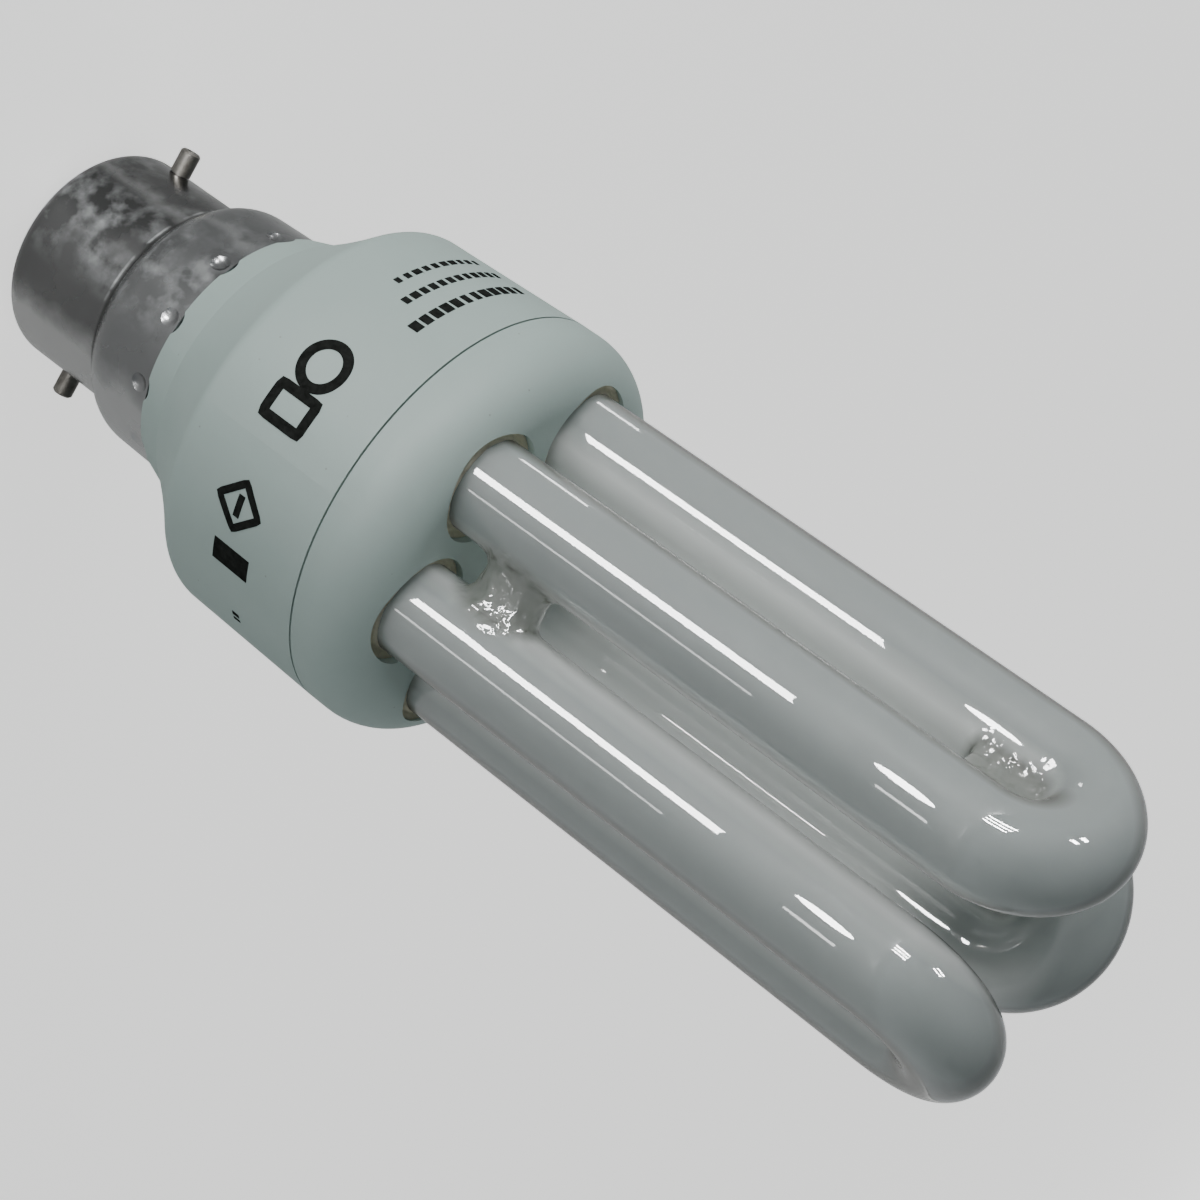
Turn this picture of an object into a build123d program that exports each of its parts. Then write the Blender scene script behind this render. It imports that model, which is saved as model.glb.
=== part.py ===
from build123d import *
import math
import os

# Compact fluorescent bulb with a bayonet cap, three glass U tubes and its ballast inside.
# Millimetres. The cap is down, +Z runs from the cap to the tubes, the two pins lie on Y, and the
# origin is on the axis at the tips of the two cap contacts. Heights are taken from the cap's rim.

# Cap
contact_proud = 0.8
contact_radius = 2.3
contact_dome_radius = 1.95
contact_spacing = 10.6
contact_depth = 1.6
cap_radius = 11.0
cap_wall = 0.35
cap_rim_round = 2.2
cap_mouth_radius = 8.4
cap_step_round = 4.0
cap_step_height = 16.6
cap_crease_round = 0.3
cap_height = 22.4
skirt_radius = 12.85
skirt_mouth_radius = 13.0
insulator_height = 3.0
contact_clearance = 0.03
cap_clearance = 0.05
cut_over = 1.0

# Bayonet pins
pin_height = 4.9
pin_radius = 1.0
pin_shank_radius = 0.8
pin_shoulder_gap = 0.1
pin_tip_radius = 13.5
pin_head_radius = 1.6
pin_head_thickness = 0.6
pin_tip_chamfer = 0.2
pin_bore_radius = 0.45
pin_bore_depth = 0.8
pin_clearance = 0.03

# Stakes that hold the cap on the neck
stake_count = 12
stake_turn = -9.5
stake_height = 21.2
stake_ball = 1.4
stake_depth = 0.35
stake_clearance = 0.15

# Housing
neck_length = 5.4
neck_clearance = 0.1
neck_wall = 1.2
housing_wall = 1.4
collar_gap = 0.1
collar_radius = 13.3
collar_height = 3.3
collar_top_radius = 14.4
flare_height = 7.1
flare_sag = 0.2
shoulder_height = 1.2
shoulder_fall = 0.45
shoulder_bulge_out = 0.7
shoulder_bulge_up = 0.4
body_draft = 0.35
seam_radius = 20.4
seam_height = 49.5
rib_count = 6
rib_width = 1.2
rib_depth = 1.6
rib_length = 6.0

# Cover and its snap joint
seam_gap = 0.2
cover_height = 7.0
cover_round = 5.1
cover_wall = 1.5
lip_wall = 1.3
lip_board_gap = 0.1
lip_clearance = 0.1
snap_height = 2.4
snap_radius = 0.3
snap_clearance = 0.12
hole_clearance = 0.9
socket_wall = 1.0

# Glass
tube_radius = 4.4
leg_circle_radius = 12.2
tube_top_height = 116.8
tube_bottom_height = 46.6
bridge_height = 63.2
bridge_waist_radius = 2.3
bridge_root_radius = 3.5
exhaust_radius = 1.1
exhaust_length = 1.6
cement_height = 51.6
cement_length = 3.4
cement_clearance = 0.02

# Circuit board and what stands on it
board_drop = 7.3
board_thickness = 1.6
board_clearance = 0.65
plan_radius = 18.0
lead_radius = 0.3
lead_root = 0.2
standoff = 0.8
electrolytic_radius = 5.0
electrolytic_length = 15.5
electrolytic_round = 0.5
electrolytic_plan_x = -4.5
crimp_drop = 2.0
crimp_offset = 0.3
crimp_radius = 0.7
choke_plan_x = 8.6
choke_length = 12.0
choke_depth = 5.0
choke_height = 11.0
choke_leg = 2.4
choke_post = 2.8
choke_yoke = 2.0
bobbin_wall = 0.45
bobbin_flange = 0.7
bobbin_gap = 0.1
bobbin_overhang = 1.7
winding_inset = 0.25
winding_round = 1.0
toroid_plan = (6.5, 11.2)
toroid_radius = 3.6
toroid_bore_radius = 1.8
toroid_height = 3.0
turn_wire_radius = 0.25
turn_count = 9
transistor_radius = 2.3
transistor_length = 4.6
transistor_flat = 1.2
transistor_lead_pitch = 1.27
transistor_lead_offset = 0.2
transistor_plan = [(-7.2, 11.0), (-1.8, 12.9)]
diode_radius = 1.3
diode_length = 5.0
diode_plan_pitch = 3.2
diode_plan_x = -13.3
diode_lead = 0.7
diode_count = 4
tuning_capacitor_size = (10.0, 4.5, 8.0)
tuning_capacitor_plan = (6.5, -9.6)
filter_capacitor_size = (6.5, 3.0, 6.0)
filter_capacitor_plan = (-5.6, -9.9)
film_corner_share = 0.4
film_round_share = 0.15
film_pitch_share = 0.38
disc_capacitor_radius = 1.9
disc_capacitor_thickness = 1.6
disc_capacitor_plan = [(-3.4, 7.7), (-3.6, -6.7)]
disc_round_share = 0.25
disc_pitch_share = 0.6
disc_root_share = 0.5
resistor_radius = 1.1
resistor_length = 6.2
resistor_plan = [(-11.8, 9.0), (-12.2, -8.6), (13.4, 8.3), (14.0, -8.2)]
resistor_round_share = 0.3
diac_radius = 0.9
diac_length = 3.8
diac_plan = (-2.2, -14.4)
thermistor_radius = 2.3
thermistor_thickness = 2.3
thermistor_plan = (3.6, -14.3)
fuse_radius = 1.7
fuse_length = 9.0
fuse_drop = 12.0
supply_radius = 0.55
supply_y = 8.3
supply_bend_height = 12.5
supply_exit_height = 6.0
supply_bend_radius = 2.6
post_width = 0.8
post_length = 2.0
electrode_spread = 1.9
post_gap = 0.05
electrode_gap = 0.08


def level(height):
    return contact_proud + height


# Sizes and places worked out from the ones above
body_radius = seam_radius - body_draft
shoulder_radius = body_radius - shoulder_fall
board_radius = body_radius - housing_wall - board_clearance
rim_z = level(0)
pin_z = level(pin_height)
crease_run = cap_radius - skirt_radius + cap_step_round
crease_z = level(cap_step_height) - math.sqrt(cap_step_round**2 - crease_run**2)
stake_z = level(stake_height)
stake_skirt = skirt_mouth_radius + (skirt_radius - skirt_mouth_radius) * (
    cap_height - stake_height
) / (cap_height - cap_step_height)
stake_centre = stake_skirt + stake_ball - stake_depth
neck_radius = skirt_radius - cap_wall - neck_clearance
collar_z = level(cap_height) + collar_gap
flare_z = collar_z + collar_height
shoulder_z = flare_z + flare_height
body_z = shoulder_z + shoulder_height
seam_z = level(seam_height)
cover_z = seam_z + seam_gap
face_z = seam_z + cover_height
lip_radius = seam_radius - housing_wall - lip_clearance
lip_bore = lip_radius - lip_wall
snap_z = seam_z - snap_height
hole_radius = tube_radius + hole_clearance
socket_radius = hole_radius + socket_wall
bend_radius = leg_circle_radius / 2
bend_z = level(tube_top_height) - tube_radius - bend_radius
tube_end_z = level(tube_bottom_height) + tube_radius
bridge_z = level(bridge_height)
leg_angles = [30 + 60 * leg for leg in range(6)]
u_angles = [60, 180, 300]
bridge_angles = [0, 240]
electrode_angles = [90, 150]
board_z = seam_z - board_drop
board_top_z = board_z + board_thickness
lip_z = board_top_z + lip_board_gap


# Place on the board, whose plan is drawn for a board of the plan radius
def on_board(place):
    share = board_radius / plan_radius
    return (place[0] * share, place[1] * share)


electrolytic_x, electrolytic_y = on_board((electrolytic_plan_x, 0))
choke_x, choke_y = on_board((choke_plan_x, 0))
toroid_x, toroid_y = on_board(toroid_plan)
transistor_places = [on_board(place) for place in transistor_plan]
resistor_places = [on_board(place) for place in resistor_plan]
disc_capacitor_places = [on_board(place) for place in disc_capacitor_plan]


# Half section of the cap's sheet, set in from its outside by an amount
def cap_section(inset, mouth):
    step_round = cap_step_round - inset
    crease = math.acos((cap_radius - skirt_radius + cap_step_round - inset) / step_round)
    step_z = level(cap_step_height)
    centre = (skirt_radius - cap_step_round, step_z)
    bottom_z = rim_z + inset
    with BuildLine() as outline:
        rim = Line((0, bottom_z), (cap_radius - cap_rim_round, bottom_z))
        corner = CenterArc(
            (cap_radius - cap_rim_round, rim_z + cap_rim_round), cap_rim_round - inset, -90, 90
        )
        barrel = Line(corner @ 1, (cap_radius - inset, step_z - step_round * math.sin(crease)))
        step = CenterArc(centre, step_round, -math.degrees(crease), math.degrees(crease))
        skirt = Line(step @ 1, (skirt_mouth_radius - inset, level(cap_height) + mouth))
        Polyline(skirt @ 1, (0, level(cap_height) + mouth), (0, bottom_z))
    return outline.edges()


# Cap, drawn from one sheet, with the stakes punched through its skirt
with BuildPart() as cap_inside:
    with BuildSketch(Plane.XZ):
        make_face(cap_section(cap_wall, cut_over))
    revolve(axis=Axis.Z)
    with BuildSketch(Plane.XY.offset(rim_z - cut_over)):
        Circle(cap_mouth_radius)
    extrude(amount=cut_over + cap_rim_round)
    with Locations((0, 0, stake_z)):
        with PolarLocations(stake_centre, stake_count, start_angle=stake_turn):
            Sphere(stake_ball + cap_wall, mode=Mode.SUBTRACT)

with BuildPart() as cap_shell:
    with BuildSketch(Plane.XZ):
        make_face(cap_section(0, 0))
    revolve(axis=Axis.Z)
    fillet(cap_shell.edges().sort_by_distance((cap_radius, 0, crease_z))[0], cap_crease_round)
    add(cap_inside.part, mode=Mode.SUBTRACT)
    with Locations((0, 0, stake_z)):
        with PolarLocations(stake_centre, stake_count, start_angle=stake_turn):
            Sphere(stake_ball, mode=Mode.SUBTRACT)
    with BuildSketch(Plane.XZ.offset(-cap_radius - cut_over)):
        with Locations((0, pin_z)):
            Circle(pin_shank_radius + pin_clearance)
    extrude(amount=2 * (cap_radius + cut_over), mode=Mode.SUBTRACT)
cap_shell.part.label = "cap_shell"


# One bayonet pin, riveted through the barrel on a thinner shank
def pin_form(side):
    wall_inside = cap_radius - cap_wall
    flat_inside = math.sqrt(wall_inside**2 - pin_head_radius**2) - cap_clearance
    plane = Plane(origin=(0, 0, pin_z), x_dir=(1, 0, 0), z_dir=(0, side, 0))
    with BuildPart() as pin:
        with BuildSketch(plane.offset(flat_inside - pin_head_thickness)):
            Circle(pin_head_radius)
        extrude(amount=pin_head_thickness)
        with BuildSketch(plane.offset(flat_inside)):
            Circle(pin_shank_radius)
        extrude(amount=pin_tip_radius - flat_inside)
        with BuildSketch(plane.offset(cap_radius + pin_shoulder_gap)):
            Circle(pin_radius)
        extrude(amount=pin_tip_radius - cap_radius - pin_shoulder_gap)
        tip = pin.faces().sort_by(Axis((0, 0, pin_z), (0, side, 0)))[-1]
        chamfer(tip.edges(), pin_tip_chamfer)
        with BuildSketch(plane.offset(pin_tip_radius)):
            Circle(pin_bore_radius)
        extrude(amount=-pin_bore_depth, mode=Mode.SUBTRACT)
    return pin.part


pin_left = pin_form(1)
pin_left.label = "bayonet_pin_left"
pin_right = pin_form(-1)
pin_right.label = "bayonet_pin_right"

# Insulator that fills the cap's end, with a pocket for each contact
with BuildPart() as cap_insulator:
    with BuildSketch(Plane.XZ):
        make_face(cap_section(cap_wall + cap_clearance, 0))
    revolve(axis=Axis.Z)
    split(bisect_by=Plane.XY.offset(level(insulator_height)), keep=Keep.BOTTOM)
    with BuildSketch(Plane.XY.offset(rim_z)):
        Circle(cap_mouth_radius - cap_clearance)
    extrude(amount=cap_rim_round)
    with BuildSketch(Plane.XY.offset(rim_z)):
        with GridLocations(contact_spacing, 0, 2, 1):
            Circle(contact_radius + contact_clearance)
    extrude(amount=contact_depth, mode=Mode.SUBTRACT)
    with BuildSketch(Plane.XY.offset(rim_z)):
        with GridLocations(contact_spacing, 0, 2, 1):
            Circle(supply_radius + contact_clearance)
    extrude(amount=insulator_height, mode=Mode.SUBTRACT)
cap_insulator.part.label = "cap_insulator"


# One contact, a brass plate with a domed drop of solder
def contact_form(x):
    with BuildPart() as contact:
        with BuildSketch(Plane((x, 0, 0), x_dir=(1, 0, 0), z_dir=(0, -1, 0))):
            with BuildLine():
                dome = TangentArc((0, 0), (contact_dome_radius, contact_proud), tangent=(1, 0))
                Polyline(
                    dome @ 1,
                    (contact_radius, contact_proud),
                    (contact_radius, contact_proud + contact_depth),
                    (0, contact_proud + contact_depth),
                    (0, 0),
                )
            make_face()
        revolve(axis=Axis((x, 0, 0), (0, 0, 1)))
    return contact.part


contact_left = contact_form(-contact_spacing / 2)
contact_left.label = "contact_left"
contact_right = contact_form(contact_spacing / 2)
contact_right.label = "contact_right"


# Half section of the housing above its neck, set in by an amount and closed to the axis
def housing_section(inset, foot):
    flare_middle = (
        (collar_top_radius + shoulder_radius) / 2 - flare_sag - inset,
        (flare_z + shoulder_z) / 2,
    )
    with BuildLine() as outline:
        start = Polyline(*foot)
        collar = Line(start @ 1, (collar_top_radius - inset, flare_z))
        flare = ThreePointArc(collar @ 1, flare_middle, (shoulder_radius - inset, shoulder_z))
        shoulder = ThreePointArc(
            flare @ 1,
            (
                shoulder_radius + shoulder_fall * shoulder_bulge_out - inset,
                shoulder_z + shoulder_height * shoulder_bulge_up,
            ),
            (body_radius - inset, body_z),
        )
        body = Line(shoulder @ 1, (seam_radius - inset, seam_z))
        Polyline(body @ 1, (0, seam_z), foot[0])
    return outline.edges()


# Housing, one moulding from the neck in the cap to the seam
neck_z = collar_z - neck_length
neck_foot = [(0, neck_z), (neck_radius, neck_z), (neck_radius, collar_z), (collar_radius, collar_z)]
bore = neck_radius - neck_wall
bore_foot = [(0, neck_z), (bore, neck_z), (bore, collar_z + neck_wall)]
with BuildPart() as ballast_housing:
    with BuildSketch(Plane.XZ):
        make_face(housing_section(0, neck_foot))
    revolve(axis=Axis.Z)
    with BuildSketch(Plane.XZ):
        make_face(housing_section(housing_wall, bore_foot))
    revolve(axis=Axis.Z, mode=Mode.SUBTRACT)
    with Locations((0, 0, stake_z)):
        with PolarLocations(stake_centre, stake_count, start_angle=stake_turn):
            Sphere(stake_ball + cap_wall + stake_clearance, mode=Mode.SUBTRACT)
    with BuildSketch(Plane.XY.offset(lip_z - lip_clearance)):
        Circle(seam_radius - housing_wall)
    extrude(amount=seam_z - lip_z + lip_clearance, mode=Mode.SUBTRACT)
    with BuildSketch(Plane.XZ):
        with Locations((seam_radius - housing_wall, snap_z)):
            Circle(snap_radius + snap_clearance)
    revolve(axis=Axis.Z, mode=Mode.SUBTRACT)
    with BuildSketch(Plane.XY.offset(board_z - rib_length)):
        with PolarLocations(body_radius - housing_wall, rib_count):
            Rectangle(2 * rib_depth, rib_width)
        Circle(body_radius - housing_wall / 2, mode=Mode.INTERSECT)
    extrude(amount=rib_length)
ballast_housing.part.label = "ballast_housing"

# Cover, a domed ring with six sockets for the tube ends and a lip that snaps into the housing
with BuildPart() as cover_form:
    with BuildSketch(Plane.XZ):
        with BuildLine():
            side = Line((seam_radius, cover_z), (seam_radius, face_z - cover_round))
            edge = CenterArc((seam_radius - cover_round, face_z - cover_round), cover_round, 0, 90)
            Polyline(edge @ 1, (0, face_z), (0, cover_z), side @ 0)
        make_face()
    revolve(axis=Axis.Z)

with BuildPart() as socket_form:
    with BuildSketch(Plane.XY.offset(cover_z)):
        with PolarLocations(leg_circle_radius, len(leg_angles), start_angle=leg_angles[0]):
            Circle(socket_radius)
    extrude(amount=face_z - cover_z)
    add(cover_form.part, mode=Mode.INTERSECT)

with BuildPart() as housing_cover:
    add(cover_form.part)
    with BuildSketch(Plane.XY.offset(lip_z)):
        Circle(lip_radius)
    extrude(amount=seam_z - lip_z + cover_wall)
    with BuildSketch(Plane.XZ):
        with Locations((lip_radius, snap_z)):
            Circle(snap_radius)
    revolve(axis=Axis.Z)
    with BuildSketch(Plane.XZ):
        with BuildLine():
            inner_round = cover_round - cover_wall
            wall = Line((lip_bore, lip_z), (lip_bore, face_z - cover_round))
            roof = CenterArc(
                (lip_bore - inner_round, face_z - cover_round), inner_round, 0, 90
            )
            Polyline(roof @ 1, (0, face_z - cover_wall), (0, lip_z), wall @ 0)
        make_face()
    revolve(axis=Axis.Z, mode=Mode.SUBTRACT)
    add(socket_form.part)
    with BuildSketch(Plane.XY.offset(cover_z - cut_over)):
        with PolarLocations(leg_circle_radius, len(leg_angles), start_angle=leg_angles[0]):
            Circle(hole_radius)
    extrude(amount=cover_height + 2 * cut_over, mode=Mode.SUBTRACT)
housing_cover.part.label = "housing_cover"


# Place on the ring of legs at an angle from +X
def ring_point(radius, angle, z):
    return (
        radius * math.cos(math.radians(angle)),
        radius * math.sin(math.radians(angle)),
        z,
    )


# Discharge tube, three bent U tubes fused by two blown bridges into one sealed piece
with BuildPart() as discharge_tube:
    chord_radius = leg_circle_radius * math.cos(math.pi / 6)
    for u_angle in u_angles:
        with BuildSketch(Plane.XY.offset(tube_end_z)):
            with Locations(ring_point(leg_circle_radius, u_angle - 30, 0)):
                Circle(tube_radius)
        u_plane = Plane(
            origin=ring_point(chord_radius, u_angle, 0),
            x_dir=ring_point(1, u_angle + 90, 0),
            z_dir=ring_point(1, u_angle, 0),
        )
        with BuildLine(u_plane) as u_path:
            Line((-bend_radius, tube_end_z), (-bend_radius, bend_z))
            CenterArc((0, bend_z), bend_radius, 180, -180)
            Line((bend_radius, bend_z), (bend_radius, tube_end_z))
        sweep(path=u_path.wires()[0])
    for leg_angle in leg_angles:
        with Locations(ring_point(leg_circle_radius, leg_angle, tube_end_z)):
            Sphere(tube_radius)
    for bridge_angle in bridge_angles:
        bridge_centre = ring_point(chord_radius, bridge_angle, bridge_z)
        bridge_axis = ring_point(1, bridge_angle + 90, 0)
        bridge_reach = bend_radius - tube_radius / 2
        bridge_plane = Plane(
            origin=bridge_centre, x_dir=bridge_axis, z_dir=ring_point(1, bridge_angle, 0)
        )
        with BuildSketch(bridge_plane):
            with BuildLine():
                waist = ThreePointArc(
                    (-bridge_reach, bridge_root_radius),
                    (0, bridge_waist_radius),
                    (bridge_reach, bridge_root_radius),
                )
                Polyline(waist @ 1, (bridge_reach, 0), (-bridge_reach, 0), waist @ 0)
            make_face()
        revolve(axis=Axis(bridge_centre, bridge_axis))
    for electrode_angle in electrode_angles:
        with BuildSketch(Plane.XY.offset(level(tube_bottom_height) - exhaust_length)):
            with Locations(ring_point(leg_circle_radius, electrode_angle, 0)):
                Circle(exhaust_radius)
        extrude(amount=exhaust_length + tube_radius / 2)
discharge_tube.part.label = "discharge_tube"

# Cement that holds each leg in its socket
with BuildPart() as tube_cement:
    with BuildSketch(Plane.XY.offset(level(cement_height))):
        with PolarLocations(leg_circle_radius, len(leg_angles), start_angle=leg_angles[0]):
            Circle(hole_radius - cement_clearance)
            Circle(tube_radius + cement_clearance, mode=Mode.SUBTRACT)
    extrude(amount=cement_length)
tube_cement.part.label = "tube_cement"

# Circuit board, a round of laminate that rests on the housing's ribs
with BuildPart() as circuit_board:
    with BuildSketch(Plane.XY.offset(board_z)):
        Circle(board_radius)
    extrude(amount=board_thickness)
circuit_board.part.label = "circuit_board"


# Sections of straight leads that rise to the board from a depth under it
def lead_spots(places, length):
    with BuildSketch(Plane.XY.offset(board_z - length)) as spots:
        with Locations(*places):
            Circle(lead_radius)
    return spots.sketch


# Electrolytic capacitor, hanging from the board into the neck
with BuildPart() as electrolytic_capacitor:
    can_z = board_z - standoff - electrolytic_length
    with BuildSketch(Plane.XY.offset(can_z)):
        with Locations((electrolytic_x, electrolytic_y)):
            Circle(electrolytic_radius)
    extrude(amount=electrolytic_length)
    fillet(electrolytic_capacitor.edges().filter_by(GeomType.CIRCLE), electrolytic_round)
    crimp_z = board_z - standoff - crimp_drop
    with BuildSketch(Plane.XZ):
        with Locations((electrolytic_x + electrolytic_radius + crimp_offset, crimp_z)):
            Circle(crimp_radius)
    revolve(axis=Axis((electrolytic_x, 0, 0), (0, 0, 1)), mode=Mode.SUBTRACT)
    pitch = electrolytic_radius / 2
    spots = lead_spots([(electrolytic_x, -pitch), (electrolytic_x, pitch)], standoff + lead_root)
    extrude(spots, amount=standoff + lead_root)
electrolytic_capacitor.part.label = "electrolytic_capacitor"

# Choke, a pair of ferrite halves round a wound bobbin
choke_window_width = (choke_length - 2 * choke_leg - choke_post) / 2
choke_window_height = choke_height - 2 * choke_yoke
choke_middle = Plane((choke_x, choke_y, board_z - choke_height / 2))
with BuildPart() as choke_core:
    with BuildSketch(Plane(choke_middle.origin, x_dir=(1, 0, 0), z_dir=(0, -1, 0))):
        Rectangle(choke_length, choke_height)
        with GridLocations(choke_post + choke_window_width, 0, 2, 1):
            Rectangle(choke_window_width, choke_window_height, mode=Mode.SUBTRACT)
    extrude(amount=choke_depth / 2, both=True)
choke_core.part.label = "choke_core"

bobbin_bore_x = choke_post + 2 * bobbin_gap
bobbin_bore_y = choke_depth + 2 * bobbin_gap
bobbin_height = choke_window_height - 2 * bobbin_gap
flange_x = choke_post + 2 * (choke_window_width - bobbin_gap)
flange_y = bobbin_bore_y + 2 * bobbin_wall + 2 * bobbin_overhang
with BuildPart() as choke_bobbin:
    with BuildSketch(choke_middle.offset(-bobbin_height / 2)):
        Rectangle(bobbin_bore_x + 2 * bobbin_wall, bobbin_bore_y + 2 * bobbin_wall)
    extrude(amount=bobbin_height)
    with BuildSketch(
        choke_middle.offset(-bobbin_height / 2),
        choke_middle.offset(bobbin_height / 2 - bobbin_flange),
    ):
        RectangleRounded(flange_x, flange_y, bobbin_flange)
    extrude(amount=bobbin_flange)
    with BuildSketch(choke_middle.offset(-bobbin_height / 2)):
        Rectangle(bobbin_bore_x, bobbin_bore_y)
    extrude(amount=bobbin_height, mode=Mode.SUBTRACT)
choke_bobbin.part.label = "choke_bobbin"

with BuildPart() as choke_winding:
    winding_height = bobbin_height - 2 * bobbin_flange
    with BuildSketch(choke_middle.offset(-winding_height / 2)):
        RectangleRounded(flange_x - 2 * winding_inset, flange_y - 2 * winding_inset, winding_round)
        Rectangle(
            bobbin_bore_x + 2 * bobbin_wall, bobbin_bore_y + 2 * bobbin_wall, mode=Mode.SUBTRACT
        )
    extrude(amount=winding_height)
choke_winding.part.label = "choke_winding"

# Driver transformer, a small ferrite ring under its turns of wire
toroid_middle = Plane(
    (toroid_x, toroid_y, board_z - 2 * turn_wire_radius - cement_clearance - toroid_height / 2)
)
with BuildPart() as driver_toroid:
    with BuildSketch(toroid_middle.offset(-toroid_height / 2)):
        Circle(toroid_radius)
        Circle(toroid_bore_radius, mode=Mode.SUBTRACT)
    extrude(amount=toroid_height)
driver_toroid.part.label = "driver_toroid"

with BuildPart() as toroid_turns:
    ring_width = toroid_radius - toroid_bore_radius + 2 * cement_clearance
    ring_height = toroid_height + 2 * cement_clearance
    ring_middle = (toroid_radius + toroid_bore_radius) / 2
    for turn in range(turn_count):
        turn_angle = turn * 360 / turn_count
        out = Vector(*ring_point(1, turn_angle, 0))
        turn_plane = Plane(
            origin=toroid_middle.origin + out * ring_middle,
            x_dir=out,
            z_dir=ring_point(1, turn_angle - 90, 0),
        )
        with BuildSketch(turn_plane):
            Rectangle(ring_width + 4 * turn_wire_radius, ring_height + 4 * turn_wire_radius)
            Rectangle(ring_width, ring_height, mode=Mode.SUBTRACT)
        extrude(amount=turn_wire_radius, both=True)
toroid_turns.part.label = "toroid_turns"

# Switching transistors, flat sided plastic bodies on three leads each
with BuildPart() as transistors:
    body_top = board_z - 2 * standoff
    with BuildSketch(Plane.XY.offset(body_top - transistor_length)):
        with Locations(*transistor_places):
            Circle(transistor_radius)
            with Locations((0, transistor_radius + transistor_flat)):
                Rectangle(2 * transistor_radius, 2 * transistor_radius, mode=Mode.SUBTRACT)
    extrude(amount=transistor_length)
    legs = [
        (x + step * transistor_lead_pitch, y - transistor_lead_offset)
        for x, y in transistor_places
        for step in (-1, 0, 1)
    ]
    extrude(lead_spots(legs, 2 * standoff + lead_root), amount=2 * standoff + lead_root)
transistors.part.label = "transistors"


# Axial body lying along X under the board, with a bent lead at each end
def lying_part(places, radius, length, reach):
    drop = radius + standoff / 2
    with BuildPart() as lying:
        for x, y in places:
            end_plane = Plane.YZ.offset(x - length / 2)
            with BuildSketch(end_plane):
                with Locations((y, board_z - drop)):
                    Circle(radius)
            extrude(amount=length)
            with BuildSketch(Plane.YZ.offset(x - length / 2 - reach)):
                with Locations((y, board_z - drop)):
                    Circle(lead_radius)
            extrude(amount=length + 2 * reach)
        ends = [(x + side * (length / 2 + reach), y) for x, y in places for side in (-1, 1)]
        extrude(lead_spots(ends, drop), amount=drop)
    return lying.part


diode_row = [
    on_board((diode_plan_x, (number - (diode_count - 1) / 2) * diode_plan_pitch))
    for number in range(diode_count)
]
rectifier_diodes = lying_part(diode_row, diode_radius, diode_length, diode_lead)
rectifier_diodes.label = "rectifier_diodes"
diac = lying_part([on_board(diac_plan)], diac_radius, diac_length, diode_lead)
diac.label = "diac"


# Dipped film capacitor, a rounded block on two leads
def film_capacitor(size, place):
    width, depth, height = size
    with BuildPart() as film:
        with BuildSketch(Plane.XY.offset(board_z - standoff - height)):
            with Locations(place):
                RectangleRounded(width, depth, depth * film_corner_share)
        extrude(amount=height)
        fillet(film.faces().sort_by(Axis.Z)[0].edges(), depth * film_round_share)
        pitch = width * film_pitch_share
        legs = [(place[0] - pitch, place[1]), (place[0] + pitch, place[1])]
        extrude(lead_spots(legs, standoff + lead_root), amount=standoff + lead_root)
    return film.part


tuning_capacitor = film_capacitor(tuning_capacitor_size, on_board(tuning_capacitor_plan))
tuning_capacitor.label = "tuning_capacitor"
filter_capacitor = film_capacitor(filter_capacitor_size, on_board(filter_capacitor_plan))
filter_capacitor.label = "filter_capacitor"


# Round disc standing on edge under the board, on two leads
def standing_disc(places, radius, thickness):
    with BuildPart() as disc:
        for x, y in places:
            with BuildSketch(Plane.XZ.offset(-y - thickness / 2)):
                with Locations((x, board_z - standoff - radius)):
                    Circle(radius)
            extrude(amount=thickness)
        fillet(disc.edges().filter_by(GeomType.CIRCLE), thickness * disc_round_share)
        pitch = radius * disc_pitch_share
        length = standoff + radius * disc_root_share
        legs = [(x + side * pitch, y) for x, y in places for side in (-1, 1)]
        extrude(lead_spots(legs, length), amount=length)
    return disc.part


disc_capacitors = standing_disc(
    disc_capacitor_places, disc_capacitor_radius, disc_capacitor_thickness
)
disc_capacitors.label = "disc_capacitors"
thermistor = standing_disc([on_board(thermistor_plan)], thermistor_radius, thermistor_thickness)
thermistor.label = "thermistor"

# Resistors standing on end, the far lead bent back to the board
with BuildPart() as resistors:
    return_leads = []
    for x, y in resistor_places:
        turn_out = math.hypot(x, y)
        reach = resistor_radius + 2 * lead_radius
        return_leads.append((x - y / turn_out * reach, y + x / turn_out * reach))
    far_z = board_z - standoff - resistor_length
    with BuildSketch(Plane.XY.offset(far_z)):
        with Locations(*resistor_places):
            Circle(resistor_radius)
    extrude(amount=resistor_length)
    fillet(resistors.edges().filter_by(GeomType.CIRCLE), resistor_radius * resistor_round_share)
    extrude(lead_spots(resistor_places, standoff + lead_root), amount=standoff + lead_root)
    return_length = standoff + resistor_length + lead_radius
    extrude(lead_spots(return_leads, return_length), amount=return_length)
    for near, far in zip(resistor_places, return_leads):
        middle = ((near[0] + far[0]) / 2, (near[1] + far[1]) / 2)
        heading = math.degrees(math.atan2(far[1] - near[1], far[0] - near[0]))
        with BuildSketch(Plane.XY.offset(far_z - lead_radius)):
            with Locations(Location((middle[0], middle[1], 0), heading)):
                SlotCenterToCenter(math.dist(near, far), 2 * lead_radius)
        extrude(amount=2 * lead_radius)
resistors.part.label = "resistors"

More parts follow.
